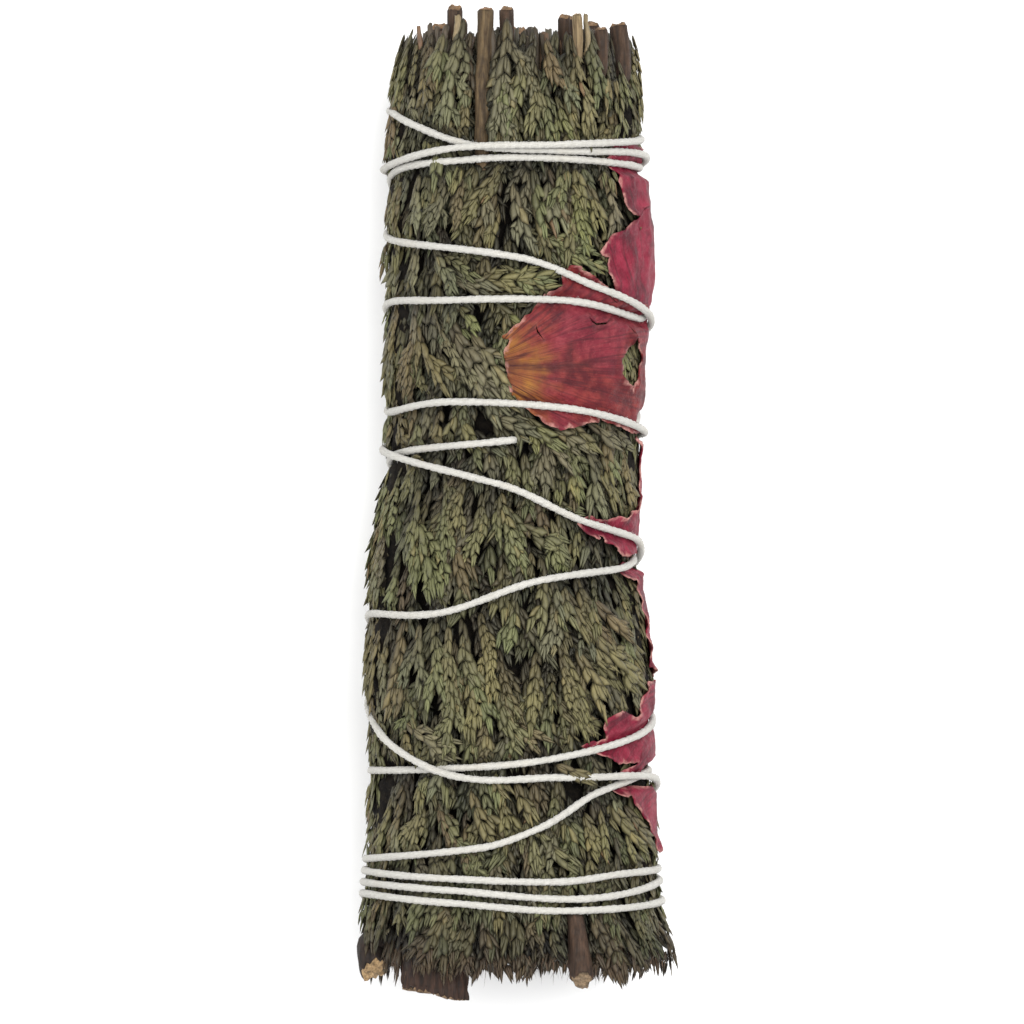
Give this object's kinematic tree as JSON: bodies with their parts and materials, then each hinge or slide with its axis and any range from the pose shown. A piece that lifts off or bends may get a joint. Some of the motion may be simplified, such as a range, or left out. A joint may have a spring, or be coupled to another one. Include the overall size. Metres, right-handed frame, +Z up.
{
  "type": "incense cedar smudge stick",
  "caption": "Hand-tied stick of dried cedar sprays and cut stems with dried rose petals, wound round with cotton string, lying on its side; burned slowly for scented smoke.",
  "frame": {"origin": "on the surface that the stick lies on, under the middle of its overall box", "axes": "+Y along the stick towards the cut stems, +X to the right as seen from above, +Z up"},
  "size_m": [0.0328, 0.1044, 0.0283],
  "materials": {
    "cedar_leaf": "dry scale leaves, matte, olive to grey-green",
    "cedar_wood": "rough brown bark with cut ends",
    "pale_wood": "bare split wood, matte",
    "rose_petal": "dried petal, soft dull sheen, finely veined",
    "cotton_string": "twisted undyed cotton, slightly fuzzy"
  },
  "bodies": {
    "root": {"cedar_spray_1": "cedar_leaf", "cedar_spray_2": "cedar_leaf", "cedar_spray_3": "cedar_leaf", "cedar_spray_4": "cedar_leaf", "cedar_spray_5": "cedar_leaf", "cedar_spray_6": "cedar_leaf", "cedar_spray_7": "cedar_leaf", "cedar_spray_8": "cedar_leaf", "cedar_stem_middle": "cedar_wood", "cedar_stem_01": "cedar_wood", "cedar_stem_02": "cedar_wood", "cedar_stem_03": "cedar_wood", "cedar_stem_04": "cedar_wood", "cedar_stem_05": "cedar_wood", "cedar_stem_06": "cedar_wood", "cedar_stem_07": "cedar_wood", "cedar_stem_08": "cedar_wood", "cedar_stem_front": "cedar_wood", "cedar_stem_pale": "pale_wood", "cedar_stem_right": "cedar_wood", "cedar_stem_corner": "cedar_wood", "cedar_twig_cut": "cedar_wood", "cedar_wood_split": "pale_wood", "cedar_bark_piece": "cedar_wood", "rose_petal_top": "rose_petal", "rose_petal_large": "rose_petal", "rose_petal_fold": "rose_petal", "rose_petal_edge": "rose_petal", "rose_petal_low": "rose_petal", "rose_petal_last": "rose_petal", "cotton_string": "cotton_string"}
  },
  "joints": []
}
